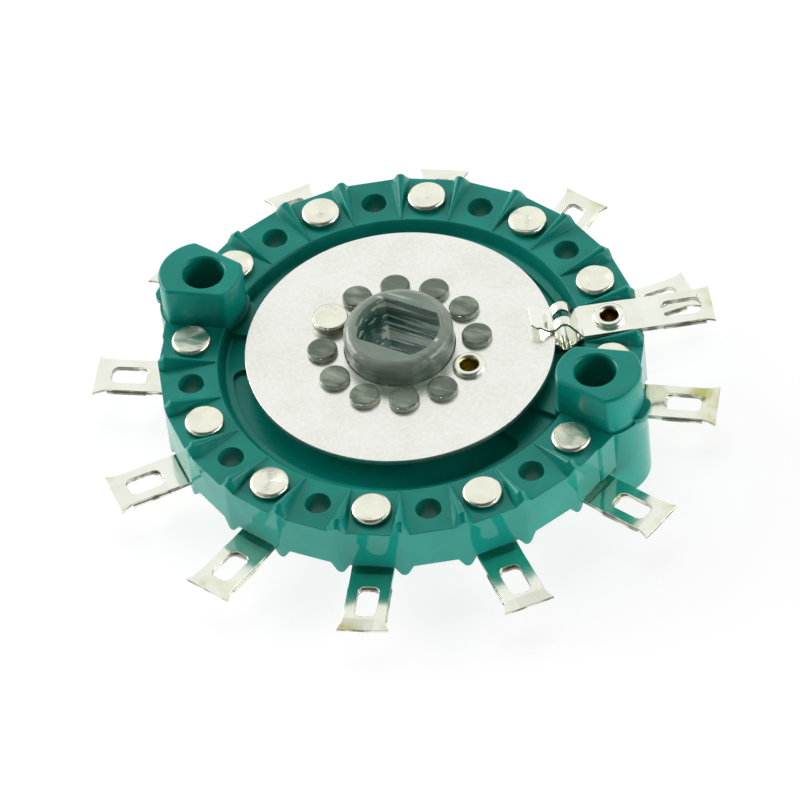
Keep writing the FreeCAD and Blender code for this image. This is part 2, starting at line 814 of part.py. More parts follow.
def build_rotor_hub():
    """The smoke-grey moulding that carries both contacts and takes the shaft."""
    body = new_body("rotor_hub", size("rotor_angle"))
    hub = size("hub_radius")
    top = seat_top + size("hub_top_height")
    bottom = seat_bottom - size("hub_bottom_height")
    flange_bottom = web_top + size("flange_clearance")
    section = new_sketch(body, "section", "XZ_Plane")
    corners = [
        (0, bottom), (hub, bottom), (hub, seat_bottom), (size("core_radius"), seat_bottom),
        (size("core_radius"), flange_bottom),
        (size("flange_radius"), flange_bottom),
        (size("flange_radius"), seat_top), (hub, seat_top), (hub, top), (0, top),
    ]
    radii = (0, size("hub_bottom_round"), 0, 0, 0, 0, 0, 0, size("hub_top_round"), 0)
    for edge in rounded_corners([Vector(*corner, 0) for corner in corners], radii):
        section.addGeometry(edge)
    turned(body, section, "turning")

    pegs, rivet_angle, eyelet_angle = fastener_slots()
    shanks = new_sketch(body, "peg_shank_outline", offset=level(middle))
    heads = new_sketch(body, "peg_head_outline", offset=level(seat_top + size("disc_thickness")))
    tails = new_sketch(body, "peg_tail_outline", offset=level(
        seat_bottom - size("disc_thickness") - size("peg_head_height")))
    for angle in pegs:
        centre = polar(size("peg_pitch_radius"), angle)
        add_circle(shanks, centre, "peg_shank_radius")
        add_circle(heads, centre, "peg_head_radius")
        add_circle(tails, centre, "peg_head_radius")
    pad(body, shanks, "peg_shanks", "Dims.rotor_seat_height + 2 * Dims.disc_thickness", symmetric=True)
    pad(body, heads, "peg_heads", "Dims.peg_head_height")
    pad(body, tails, "peg_tails", "Dims.peg_head_height")

    holes = new_sketch(body, "fastener_hole_outline", offset=level(seat_top))
    for angle in (rivet_angle, eyelet_angle):
        add_circle(
            holes, polar(size("peg_pitch_radius"), angle), "rotor_fastener_shank_radius",
            "Dims.rotor_fastener_shank_radius + Dims.peg_hole_clearance",
            size("rotor_fastener_shank_radius") + size("peg_hole_clearance"))
    pocket(body, holes, "fastener_holes")

    bore = new_sketch(body, "shaft_bore_outline", offset=level(top))
    radius = size("shaft_bore_radius")
    flat = size("shaft_flats_width") / 2
    reach = math.sqrt(radius ** 2 - flat ** 2)
    for side in (1, -1):
        high = Vector(side * reach, flat, 0)
        low = Vector(side * reach, -flat, 0)
        bore.addGeometry(Part.Arc(high, Vector(side * radius, 0, 0), low))
        bore.addGeometry(Part.LineSegment(Vector(-reach, side * flat, 0), Vector(reach, side * flat, 0)))
    pocket(body, bore, "shaft_bore")
    return body


def add_contact_holes(sketch):
    """The centre hole, peg holes and fastener holes that both moving contacts share."""
    clear = size("hub_radius") + size("disc_hole_clearance")
    add_circle(sketch, Vector(0, 0, 0), "hub_radius", "Dims.hub_radius + Dims.disc_hole_clearance", clear)
    pegs, rivet_angle, eyelet_angle = fastener_slots()
    for angle in pegs:
        add_circle(
            sketch, polar(size("peg_pitch_radius"), angle), "peg_shank_radius",
            "Dims.peg_shank_radius + Dims.peg_hole_clearance",
            size("peg_shank_radius") + size("peg_hole_clearance"))
    for angle in (rivet_angle, eyelet_angle):
        add_circle(
            sketch, polar(size("peg_pitch_radius"), angle), "rotor_fastener_shank_radius",
            "Dims.rotor_fastener_shank_radius + Dims.peg_hole_clearance",
            size("rotor_fastener_shank_radius") + size("peg_hole_clearance"))


def build_rotor_disc():
    """The round contact on top of the rotor, which the common clip always touches."""
    body = new_body("rotor_disc", size("rotor_angle"), seat_top)
    outline = new_sketch(body, "outline")
    add_circle(outline, Vector(0, 0, 0), "disc_radius")
    add_contact_holes(outline)
    pad(body, outline, "disc", "Dims.disc_thickness")
    return body


def build_rotor_blade():
    """The contact under the rotor, with the nose that meets one terminal at a time."""
    body = new_body("rotor_blade", size("rotor_angle"), seat_bottom - size("disc_thickness"))
    outline = new_sketch(body, "outline")
    nose = size("blade_nose_position") - size("rotor_angle")
    half = size("blade_nose_half_angle")
    low_in, low_out = polar(size("blade_radius"), nose - half), polar(size("disc_radius"), nose - half)
    high_in, high_out = polar(size("blade_radius"), nose + half), polar(size("disc_radius"), nose + half)
    outline.addGeometry(Part.Arc(high_in, polar(size("blade_radius"), nose + 180), low_in))
    outline.addGeometry(Part.LineSegment(low_in, low_out))
    outline.addGeometry(Part.Arc(low_out, polar(size("disc_radius"), nose), high_out))
    outline.addGeometry(Part.LineSegment(high_out, high_in))
    add_contact_holes(outline)
    pad(body, outline, "blade", "Dims.disc_thickness")
    return body


def build_rotor_rivet():
    """The solid rivet that joins the two moving contacts."""
    angle = fastener_slots()[1]
    body = new_body("rotor_rivet", size("rotor_angle") + angle, seat_top, size("peg_pitch_radius"))
    above = size("disc_thickness")
    under = -size("rotor_seat_height") - size("disc_thickness")
    head = size("rotor_rivet_radius")
    high = size("rotor_rivet_height")
    soft = size("rotor_rivet_round")
    shank = size("rotor_fastener_shank_radius")
    section = new_sketch(body, "section", "XZ_Plane")
    add_polygon(section, [
        (0, above + high), (head - soft, above + high), (head, above + high - soft), (head, above),
        (shank, above), (shank, under), (head, under), (head, under - high + soft),
        (head - soft, under - high), (0, under - high),
    ])
    turned(body, section, "rivet")
    return body


def build_rotor_eyelet():
    """The eyelet across from the rivet, which joins the two moving contacts as well."""
    angle = fastener_slots()[2]
    body = new_body("rotor_eyelet", size("rotor_angle") + angle, seat_top, size("peg_pitch_radius"))
    section = new_sketch(body, "section", "XZ_Plane")
    under = -size("rotor_seat_height") - size("disc_thickness")
    eyelet_section(section, size("rotor_fastener_shank_radius"), size("disc_thickness"), under)
    turned(body, section, "eyelet")
    return body


def build_terminals():
    """Twelve clips under the ring, each two leaves and a rivet."""
    bodies = []
    count = int(size("terminal_count"))
    lug_tip = flare_start + size("lug_flare_length")
    spring_tip = slot_outer + size("spring_lug_margin")
    for number in range(count):
        angle = size("terminal_first_angle") + number * 360 / count
        tag = "%02d" % (number + 1)
        bodies.append(build_leaf(
            "terminal_lug_" + tag, angle, ring_bottom, True, 0, lug_tip, size("lug_tip_width")))
        bodies.append(build_leaf(
            "terminal_spring_" + tag, angle, ring_bottom, True, 1, spring_tip))
        bodies.append(build_rivet("terminal_rivet_" + tag, angle))
    return bodies


def build_common_clip():
    """The clip on top of the ring that always touches the disc."""
    angle = size("common_angle")
    lug_tip = flare_start + size("common_lug_flare_length")
    spring_tip = slot_outer + size("spring_lug_margin")
    return [
        build_leaf("common_lower_leaf", angle, ring_top, False, 0, spring_tip),
        build_leaf(
            "common_upper_leaf", angle, ring_top, False, 1, lug_tip, size("common_lug_tip_width")),
        build_common_eyelet(),
    ]


parts = [build_stator()]
parts += build_terminals()
parts += build_common_clip()
parts += [build_rotor_hub(), build_rotor_disc(), build_rotor_blade()]
parts += [build_rotor_rivet(), build_rotor_eyelet()]
doc.recompute()

for item in doc.Objects:
    if "Invalid" in item.State or "Error" in item.State:
        raise RuntimeError("%s failed: %s" % (item.Name, item.State))
for body in parts:
    if body.Shape.isNull() or not body.Shape.isValid() or len(body.Shape.Solids) != 1:
        raise RuntimeError("%s has no single valid solid" % body.Label)

for body in parts:
    body.Shape.exportStep(os.path.join("parts", body.Label + ".step"))
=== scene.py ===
import math

import bmesh
import bpy
from mathutils import Matrix, Quaternion, Vector


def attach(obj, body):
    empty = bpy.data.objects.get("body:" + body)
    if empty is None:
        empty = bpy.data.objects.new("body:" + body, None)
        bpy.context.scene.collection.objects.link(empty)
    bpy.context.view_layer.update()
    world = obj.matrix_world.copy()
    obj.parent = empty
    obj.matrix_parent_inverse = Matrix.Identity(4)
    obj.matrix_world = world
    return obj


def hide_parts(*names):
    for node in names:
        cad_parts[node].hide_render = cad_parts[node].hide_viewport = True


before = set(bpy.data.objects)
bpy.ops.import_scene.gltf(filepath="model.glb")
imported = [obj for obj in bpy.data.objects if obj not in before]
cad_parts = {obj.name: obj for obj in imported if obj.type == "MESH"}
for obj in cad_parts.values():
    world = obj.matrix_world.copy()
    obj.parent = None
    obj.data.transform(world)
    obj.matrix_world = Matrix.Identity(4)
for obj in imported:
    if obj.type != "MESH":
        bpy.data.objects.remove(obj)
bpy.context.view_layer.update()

# The ring is one moulding in a glossy blue-green thermoset, with a web, ridges and two tall bosses.
# Every edge of it is a little soft from the mould, and its outer wall came out polished.
# Two gates were snapped off roughly. Noise scales are in lumps per metre.
MM = 0.001
MERGE_DISTANCE = 0.001 * MM
FLAT_ANGLE = math.radians(0.2)
RING_EDGE_SOFTNESS = 0.1 * MM
RING_CREASE_ANGLE = math.radians(28)
RING_GREEN = (0.001, 0.225, 0.176, 1.0)
RING_GREEN_PALE = (0.004, 0.272, 0.218, 1.0)
RING_ROUGHNESS = (0.17, 0.28)
RING_SHINE = 0.24
RING_FLOW_SCALE = 260.0
RING_SKIN_SCALE = 2600.0
RING_SKIN_SHARE = 0.03
RIM_HEIGHT = 7.2 * MM
WALL_REACH = 17.0 * MM
WALL_FADE = 0.3 * MM
WALL_POLISH = 0.35
WALL_SHINE = 0.5
GATE_PLACES = ((18.8 * MM, 0.0, 6.8 * MM), (-18.8 * MM, 0.0, 6.8 * MM))
GATE_REACH = 1.5 * MM
GATE_CORE = 0.6 * GATE_REACH
TORN_ROUGHNESS = 0.3
TORN_SCALE = 2200.0
NOISE_SPREAD = (0.3, 0.7)


def whole_copy(node, name):
    """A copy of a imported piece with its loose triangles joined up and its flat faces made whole."""
    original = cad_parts[node]
    piece = bpy.data.objects.new(name, original.data.copy())
    bpy.context.scene.collection.objects.link(piece)
    mesh = bmesh.new()
    mesh.from_mesh(piece.data)
    bmesh.ops.remove_doubles(mesh, verts=mesh.verts, dist=MERGE_DISTANCE)
    bmesh.ops.dissolve_degenerate(mesh, edges=mesh.edges, dist=MERGE_DISTANCE)
    bmesh.ops.dissolve_limit(mesh, angle_limit=FLAT_ANGLE, verts=mesh.verts, edges=mesh.edges)
    mesh.to_mesh(piece.data)
    mesh.free()
    return piece


def bake_modifiers(piece):
    """Turns a piece with modifiers into a plain mesh."""
    graph = bpy.context.evaluated_depsgraph_get()
    made = bpy.data.meshes.new_from_object(piece.evaluated_get(graph))
    piece.modifiers.clear()
    piece.data = made


def soften_edges(piece, width, segments=2, angle=math.radians(25)):
    """Rounds every sharp edge of a piece, and keeps its flats flat under smooth shading."""
    bevel = piece.modifiers.new("soft_edges", "BEVEL")
    bevel.width = width
    bevel.segments = segments
    bevel.limit_method = "ANGLE"
    bevel.angle_limit = angle
    bevel.use_clamp_overlap = False
    bevel.miter_outer = "MITER_ARC"
    bevel.harden_normals = True
    bake_modifiers(piece)


def take_place(piece, body, slot, material, *nodes):
    """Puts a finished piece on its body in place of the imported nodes, with its material."""
    piece.data.materials.clear()
    piece.data.materials.append(material)
    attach(piece, body)
    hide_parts(*nodes)


def new_material(name):
    """A new node material, with its tree and its main shader."""
    material = bpy.data.materials.new(name)
    material.use_nodes = True
    tree = material.node_tree
    return material, tree, tree.nodes["Principled BSDF"]


def sum_node(tree, operation, *values):
    """A math node whose inputs are linked or set from the values; gives its output."""
    node = tree.nodes.new("ShaderNodeMath")
    node.operation = operation
    for socket, value in zip(node.inputs, values):
        if isinstance(value, (int, float)):
            socket.default_value = value
        else:
            tree.links.new(value, socket)
    return node.outputs["Value"]


def vector_number(tree, operation, linked, fixed=None):
    """The length of a linked vector, or its distance from or dot product with a fixed one."""
    node = tree.nodes.new("ShaderNodeVectorMath")
    node.operation = operation
    tree.links.new(linked, node.inputs[0])
    if fixed is not None:
        node.inputs[1].default_value = fixed
    return node.outputs["Value"]


def object_place(tree):
    """A point in the piece's own coordinates."""
    return tree.nodes.new("ShaderNodeTexCoord").outputs["Object"]


def noise_on(tree, place, scale, detail):
    """Noise at a place."""
    noise = tree.nodes.new("ShaderNodeTexNoise")
    noise.inputs["Scale"].default_value = scale
    noise.inputs["Detail"].default_value = detail
    tree.links.new(place, noise.inputs["Vector"])
    return noise.outputs["Fac"]


def value_range(tree, source, low_from, high_from, low=0.0, high=1.0, kind="LINEAR"):
    """A value moved from one range to another, clamped."""
    node = tree.nodes.new("ShaderNodeMapRange")
    node.interpolation_type = kind
    node.inputs["From Min"].default_value = low_from
    node.inputs["From Max"].default_value = high_from
    node.inputs["To Min"].default_value = low
    node.inputs["To Max"].default_value = high
    tree.links.new(source, node.inputs["Value"])
    return node.outputs["Result"]


def blend(tree, amount, first, second):
    """Two colours, linked or set, mixed by an amount."""
    node = tree.nodes.new("ShaderNodeMix")
    node.data_type = "RGBA"
    tree.links.new(amount, node.inputs["Factor"])
    for socket, colour in ((node.inputs["A"], first), (node.inputs["B"], second)):
        if isinstance(colour, tuple):
            socket.default_value = colour
        else:
            tree.links.new(colour, socket)
    return node.outputs["Result"]


def add_bump(tree, shader, height, distance, strength):
    """Bump from a height value, with its depth in metres."""
    bump = tree.nodes.new("ShaderNodeBump")
    bump.inputs["Strength"].default_value = strength
    bump.inputs["Distance"].default_value = distance
    tree.links.new(height, bump.inputs["Height"])
    tree.links.new(bump.outputs["Normal"], shader.inputs["Normal"])
    return bump


def edge_on(tree, low=0.15, high=0.5):
    """How far a face stands on edge to the rotor axis: 0 on a flat, 1 on a sheared side."""
    split = tree.nodes.new("ShaderNodeSeparateXYZ")
    tree.links.new(tree.nodes.new("ShaderNodeTexCoord").outputs["Normal"], split.inputs["Vector"])
    facing = sum_node(tree, "ABSOLUTE", split.outputs["Z"])
    return value_range(tree, facing, low, high, 1.0, 0.0)


def height_and_reach(tree, place):
    """How high a point lies, and how far it lies from the upright axis."""
    split = tree.nodes.new("ShaderNodeSeparateXYZ")
    tree.links.new(place, split.inputs["Vector"])
    flat = tree.nodes.new("ShaderNodeCombineXYZ")
    tree.links.new(split.outputs["X"], flat.inputs["X"])
    tree.links.new(split.outputs["Y"], flat.inputs["Y"])
    return split.outputs["Z"], vector_number(tree, "LENGTH", flat.outputs["Vector"])


def on_outer_wall(tree, place):
    """1 on the polished outer wall below the rim, else 0."""
    height, reach = height_and_reach(tree, place)
    low = value_range(tree, height, RIM_HEIGHT - WALL_FADE, RIM_HEIGHT, 1.0, 0.0)
    out = value_range(tree, reach, WALL_REACH - WALL_FADE, WALL_REACH)
    return sum_node(tree, "MULTIPLY", edge_on(tree), sum_node(tree, "MULTIPLY", low, out))


def near_gates(tree, place):
    """How near a point lies to one of the two gates, from 0 to 1."""
    first, second = (
        value_range(
            tree, vector_number(tree, "DISTANCE", place, gate), GATE_CORE, GATE_REACH, 1.0, 0.0)
        for gate in GATE_PLACES
    )
    return sum_node(tree, "MAXIMUM", first, second)


def ring_plastic():
    """Glossy blue-green moulding with a slow flow mottle, a fine skin and torn gates."""
    material, tree, shader = new_material("ring_moulding")
    place = object_place(tree)
    flow = noise_on(tree, place, RING_FLOW_SCALE, detail=3.0)
    tint = blend(tree, value_range(tree, flow, *NOISE_SPREAD), RING_GREEN, RING_GREEN_PALE)
    tree.links.new(tint, shader.inputs["Base Color"])
    torn = near_gates(tree, place)
    rough = value_range(tree, flow, *NOISE_SPREAD, *RING_ROUGHNESS)
    rough = sum_node(tree, "ADD", rough, sum_node(tree, "MULTIPLY", torn, TORN_ROUGHNESS))
    wall = on_outer_wall(tree, place)
    polish = value_range(tree, wall, 0.0, 1.0, 1.0, WALL_POLISH)
    tree.links.new(sum_node(tree, "MULTIPLY", rough, polish), shader.inputs["Roughness"])
    shine = value_range(tree, wall, 0.0, 1.0, RING_SHINE, WALL_SHINE)
    tree.links.new(shine, shader.inputs["Specular IOR Level"])
    skin = noise_on(tree, place, RING_SKIN_SCALE, detail=2.0)
    tear = sum_node(tree, "MULTIPLY", noise_on(tree, place, TORN_SCALE, detail=6.0), torn)
    height = sum_node(tree, "MULTIPLY_ADD", skin, RING_SKIN_SHARE, tear)
    bump = add_bump(tree, shader, height, distance=0.25 * MM, strength=0.6)
    edges = tree.nodes.new("ShaderNodeBevel")
    edges.samples = 8
    edges.inputs["Radius"].default_value = RING_EDGE_SOFTNESS
    tree.links.new(edges.outputs["Normal"], bump.inputs["Normal"])
    return material


def shade_by_angle(piece, angle):
    """Smooth shading on curves only: edges sharper than the angle stay, and flats stay flat."""
    if "custom_normal" in piece.data.attributes:
        piece.data.attributes.remove(piece.data.attributes["custom_normal"])
    piece.data.shade_smooth()
    piece.data.set_sharp_from_angle(angle=angle)
    weighted = piece.modifiers.new("flat_shading", "WEIGHTED_NORMAL")
    weighted.keep_sharp = True
    weighted.weight = 100
    bake_modifiers(piece)


ring = whole_copy("stator_body", "moulded_ring")
shade_by_angle(ring, RING_CREASE_ANGLE)
take_place(ring, "stator", "green_moulding", ring_plastic(), "stator_body")

# Each terminal is a pair of strips stamped from thin brass and silver plated. The long one ends in
# the slotted solder lug, and its shorter twin is riveted over it under the ring.
# Handling has bent each lug down and aside in its own way, and some tips are tarnished yellow.
STRIP_EDGE_SOFTNESS = 0.025 * MM
TERMINAL_COUNT = 12
FIRST_TERMINAL = math.radians(15)
SAG_START = 16.35 * MM
SAG_END = 17.0 * MM
ROOT_SAG = 0.8
ROOT_RADIUS = 18.2 * MM
TIP_RADIUS = 22.95 * MM
SLOT_START = 19.25 * MM
SLOT_END = 21.7 * MM
SLOT_STRETCH = 0.42 * MM
TIP_CREASE = 21.95 * MM
TIP_DROP = 0.13 * MM
FOLD_START = 21.9 * MM
LUG_HALF_WIDTH = 1.85 * MM
FOLD_INSIDE = 0.3 * LUG_HALF_WIDTH
LUG_CUTS = [16.35, 16.5, 16.65, 16.85, 17.0, 19.25, 21.95]
LUG_CUTS += [18.2 + 0.35 * step for step in range(14)]
LUG_LONG_CUTS = (-1.25, -0.7, 0.0, 0.7, 1.25)
SILVER = (0.885, 0.905, 0.815, 1.0)
SILVER_SHADE = (0.80, 0.825, 0.71, 1.0)
SILVER_CLOUDS = (0.35, 0.6)
SILVER_CLOUD_SCALE = 420.0
STRIP_ROUGHNESS = (0.08, 0.2)
SIDE_ROUGHNESS = 0.2
SHEARED_DULL_AND_PAINTED_SHADE = (0.22, 0.22, 0.17, 1.0)
SHEARED_BURNISH_AND_PAINTED_GLINT = (0.80, 0.80, 0.68, 1.0)
SHEAR_SCALE = 900.0
SHEAR_STREAKS = (0.42, 0.58)
SCUFF_SCALE = 700.0
TARNISH = (0.56, 0.56, 0.24, 1.0)
TARNISH_ZONE = (20.9 * MM, 22.4 * MM)
TARNISH_GROWTH = 0.22
TARNISH_PATCHES = (0.60, 0.80)
TARNISH_FAINTEST = 0.3
TARNISH_WORST = 0.9
TARNISH_SPOT = (21.75 * MM, 1.05 * MM, 3.32 * MM)
SPOT_FADE = (1.1 * MM, 1.7 * MM)
SPOT_RAGGEDNESS = 1.2 * MM

# For each terminal: its angle in degrees, then how far its tip is pushed in, aside and down, then
# how far one corner is turned up, all in millimetres, and last how tarnished it is.
LUG_COLUMNS = ("angle", "inward", "aside", "droop", "fold", "tarnish")
COLUMN_UNITS = {"angle": math.radians(1), "tarnish": 1.0}
LUG_ROWS = (
    (15, 0.40, -0.08, 0.66, 0.05, 1.0),
    (45, 0.43, -0.03, 0.67, 0.05, 0.4),
    (75, 0.40, 0.35, 0.38, -0.10, 0.8),
    (105, 0.47, 0.05, 0.88, 0.05, 0.2),
    (135, 0.41, 0.22, 0.70, -0.10, 0.2),
    (165, 0.44, -0.10, 0.64, 0.05, 0.3),
    (195, 0.32, -0.08, 0.44, 0.05, 0.1),
    (225, 0.42, -0.02, 0.56, -0.08, 0.7),
    (255, 0.34, -0.17, 0.65, 0.08, 0.6),
    (285, 0.41, -0.03, 0.56, 0.12, 0.8),
    (315, 0.40, 0.05, 0.59, -0.05, 0.3),
    (345, 0.31, 0.16, 0.69, -0.10, 0.5),
)


def places_on_circle(name, rows):
    """A set of points, one for each copy, that carry the copies' own values."""
    points = bpy.data.meshes.new(name)
    points.from_pydata([(0.0, 0.0, 0.0)] * len(rows), [], [])
    for column, title in enumerate(LUG_COLUMNS):
        unit = COLUMN_UNITS.get(title, MM)
        values = points.attributes.new(title, "FLOAT", "POINT")
        values.data.foreach_set("value", [row[column] * unit for row in rows])
    places = bpy.data.objects.new(name, points)
    bpy.context.scene.collection.objects.link(places)
    return places


def pattern_inputs(tree, rows):
    """Adds the tree's named inputs, given as (name, kind, value) rows."""
    tree.interface.new_socket("Geometry", in_out="INPUT", socket_type="NodeSocketGeometry")
    for name, kind, value in rows:
        socket = tree.interface.new_socket(name, in_out="INPUT", socket_type="NodeSocket" + kind)
        if value is not None:
            socket.default_value = value
    tree.interface.new_socket("Geometry", in_out="OUTPUT", socket_type="NodeSocketGeometry")


def read_named(tree, name, kind="FLOAT"):
    """A stored number or vector of the points or of the joined mesh."""
    node = tree.nodes.new("GeometryNodeInputNamedAttribute")
    node.data_type = kind
    node.inputs["Name"].default_value = name
    return node.outputs["Attribute"]


def either_way(tree, most, seed):
    """A random number for each copy, as far below zero as above it."""
    node = tree.nodes.new("FunctionNodeRandomValue")
    node.data_type = "FLOAT"
    for name, value in (("Min", sum_node(tree, "MULTIPLY", most, -1.0)), ("Max", most)):
        socket = next(entry for entry in node.inputs if entry.name == name and entry.enabled)
        tree.links.new(value, socket)
    tree.links.new(seed, node.inputs["Seed"])
    return next(entry for entry in node.outputs if entry.enabled)


def spread_copies(tree, given):
    """Copies of the incoming piece on a circle, each turned outwards, spun and tilted a little."""
    nodes, links = tree.nodes, tree.links
    angle = read_named(tree, "angle")
    centre = nodes.new("ShaderNodeCombineXYZ")
    for axis, part in (("X", "COSINE"), ("Y", "SINE")):
        share = sum_node(tree, part, angle)
        links.new(sum_node(tree, "MULTIPLY", share, given["Pitch Radius"]), centre.inputs[axis])
    places = nodes.new("GeometryNodeObjectInfo")
    links.new(given["Places"], places.inputs["Object"])
    points = nodes.new("GeometryNodeSetPosition")
    links.new(places.outputs["Geometry"], points.inputs["Geometry"])
    links.new(centre.outputs["Vector"], points.inputs["Position"])
    turn = nodes.new("ShaderNodeCombineXYZ")
    links.new(either_way(tree, given["Tilt"], given["Seed"]), turn.inputs["X"])
    spin = either_way(tree, given["Spin"], given["Seed"])
    links.new(sum_node(tree, "ADD", angle, spin), turn.inputs["Z"])
    rotation = nodes.new("FunctionNodeEulerToRotation")
    links.new(turn.outputs["Vector"], rotation.inputs["Euler"])
    copies = nodes.new("GeometryNodeInstanceOnPoints")
    links.new(points.outputs["Geometry"], copies.inputs["Points"])
    links.new(given["Geometry"], copies.inputs["Instance"])
    links.new(rotation.outputs["Rotation"], copies.inputs["Rotation"])
    return copies.outputs["Instances"]


def pushed_in(tree, along, share):
    """How far each lug is pushed in along its length, which also draws its slot longer."""
    before = value_range(tree, along, SAG_END, SLOT_START)
    after = value_range(tree, along, SLOT_START, SLOT_END, 1.0, 0.0)
    opened = sum_node(tree, "MINIMUM", before, after)
    inward = sum_node(tree, "MULTIPLY", share, read_named(tree, "inward"))
    return sum_node(tree, "MULTIPLY_ADD", opened, SLOT_STRETCH, inward)


def sagged(tree, along, share):
    """How far each lug hangs: one soft step past the ring, a slope, and a crease at the tip."""
    step = value_range(tree, along, SAG_START, SAG_END, kind="SMOOTHSTEP")
    slope = sum_node(tree, "MULTIPLY_ADD", share, 1.0 - ROOT_SAG, ROOT_SAG)
    sag = sum_node(tree, "MULTIPLY", step, slope)
    crease = value_range(tree, along, TIP_CREASE, TIP_RADIUS, 0.0, TIP_DROP)
    return sum_node(tree, "MULTIPLY_ADD", sag, read_named(tree, "droop"), crease)


def turned_up(tree, along, across):
    """How far one corner of each tip is turned up; the sign of its fold says which corner."""
    fold = read_named(tree, "fold")
    end = value_range(tree, along, FOLD_START, TIP_RADIUS)
    outward = sum_node(tree, "MULTIPLY", across, sum_node(tree, "SIGN", fold))
    side = value_range(tree, outward, FOLD_INSIDE, LUG_HALF_WIDTH)
    corner = sum_node(tree, "MULTIPLY", end, side)
    return sum_node(tree, "MULTIPLY", corner, sum_node(tree, "ABSOLUTE", fold))


def handling_bends(tree, joined):
    """Pushes each lug in, aside and down towards its tip, and turns up one of its corners."""
    nodes, links = tree.nodes, tree.links
    local = nodes.new("ShaderNodeSeparateXYZ")
    links.new(read_named(tree, "local", "FLOAT_VECTOR"), local.inputs["Vector"])
    along = local.outputs["X"]
    share = value_range(tree, along, ROOT_RADIUS, TIP_RADIUS)
    shift = nodes.new("ShaderNodeCombineXYZ")
    inward = sum_node(tree, "MULTIPLY", pushed_in(tree, along, share), -1.0)
    links.new(inward, shift.inputs["X"])
    links.new(sum_node(tree, "MULTIPLY", share, read_named(tree, "aside")), shift.inputs["Y"])
    raised = turned_up(tree, along, local.outputs["Y"])
    lift = sum_node(tree, "SUBTRACT", raised, sagged(tree, along, share))
    links.new(lift, shift.inputs["Z"])
    turned = nodes.new("ShaderNodeVectorRotate")
    turned.rotation_type = "Z_AXIS"
    links.new(shift.outputs["Vector"], turned.inputs["Vector"])
    links.new(read_named(tree, "angle"), turned.inputs["Angle"])
    bent = nodes.new("GeometryNodeSetPosition")
    links.new(joined, bent.inputs["Geometry"])
    links.new(turned.outputs["Vector"], bent.inputs["Offset"])
    return bent.outputs["Geometry"]


def circle_pattern():
    """Node tree that sets copies of its piece round the rotor axis, each a little different."""
    tree = bpy.data.node_groups.new("circle_pattern", "GeometryNodeTree")
    pattern_inputs(tree, (
        ("Places", "Object", None),
        ("Pitch Radius", "Float", 0.0),
        ("Spin", "Float", 0.0),
        ("Tilt", "Float", 0.0),
        ("Seed", "Int", 0),
        ("Material", "Material", None),
    ))
    given = tree.nodes.new("NodeGroupInput").outputs
    realize = tree.nodes.new("GeometryNodeRealizeInstances")
    tree.links.new(spread_copies(tree, given), realize.inputs["Geometry"])
    bent = handling_bends(tree, realize.outputs["Geometry"])
    finish = tree.nodes.new("GeometryNodeSetMaterial")
    tree.links.new(bent, finish.inputs["Geometry"])
    tree.links.new(given["Material"], finish.inputs["Material"])
    output = tree.nodes.new("NodeGroupOutput")
    tree.links.new(finish.outputs["Geometry"], output.inputs["Geometry"])
    return tree


CIRCLE_PATTERN = circle_pattern()


def repeat_on_circle(piece, material, rows, **sizes):
    """Runs the circle pattern on a piece, with one copy for each row, and keeps the joined mesh."""
    places = places_on_circle(piece.name + "_places", rows)
    modifier = piece.modifiers.new("circle_pattern", "NODES")
    modifier.node_group = CIRCLE_PATTERN
    sockets = {
        item.name: item.identifier
        for item in CIRCLE_PATTERN.interface.items_tree
        if item.in_out == "INPUT"
    }
    modifier[sockets["Places"]] = places
    modifier[sockets["Material"]] = material
    for name, value in sizes.items():
        modifier[sockets[name.replace("_", " ").title()]] = value
    bake_modifiers(piece)
    bpy.data.objects.remove(places)


def keep_local(piece, middle=Vector((0, 0, 0))):
    """Stores each point's place from the middle of the single piece, for patterns and bends."""
    local = piece.data.attributes.new("local", "FLOAT_VECTOR", "POINT")
    places = [value for point in piece.data.vertices for value in point.co - middle]
    local.data.foreach_set("vector", places)


def stored(tree, name):
    """The outputs of an attribute that was stored on the mesh."""
    node = tree.nodes.new("ShaderNodeAttribute")
    node.attribute_name = name
    return node.outputs


def worst_spot(tree, cloud, tarnish):
    """The one deep stain beside the slot of the most tarnished lug."""
    apart = vector_number(tree, "DISTANCE", stored(tree, "local")["Vector"], TARNISH_SPOT)
    ragged = sum_node(tree, "MULTIPLY_ADD", cloud, SPOT_RAGGEDNESS, apart)
    spot = value_range(tree, ragged, *SPOT_FADE, 0.9, 0.0)
    worst = value_range(tree, tarnish, TARNISH_WORST, 1.0)
    return sum_node(tree, "MULTIPLY", spot, worst)


def tarnish_patches(tree, place, cloud):
    """Patches of tarnish near the tips, stronger and wider on the lugs that have more of it."""
    tarnish = stored(tree, "tarnish")["Fac"]
    outer = value_range(tree, height_and_reach(tree, place)[1], *TARNISH_ZONE)
    lumps = noise_on(tree, place, SILVER_CLOUD_SCALE, detail=3.0)
    ready = sum_node(tree, "MULTIPLY_ADD", tarnish, TARNISH_GROWTH, lumps)
    depth = value_range(tree, tarnish, 0.0, TARNISH_WORST, TARNISH_FAINTEST, 1.0)
    patch = sum_node(tree, "MULTIPLY", value_range(tree, ready, *TARNISH_PATCHES), depth)
    patch = sum_node(tree, "MULTIPLY", outer, patch)
    return sum_node(tree, "MAXIMUM", patch, worst_spot(tree, cloud, tarnish))


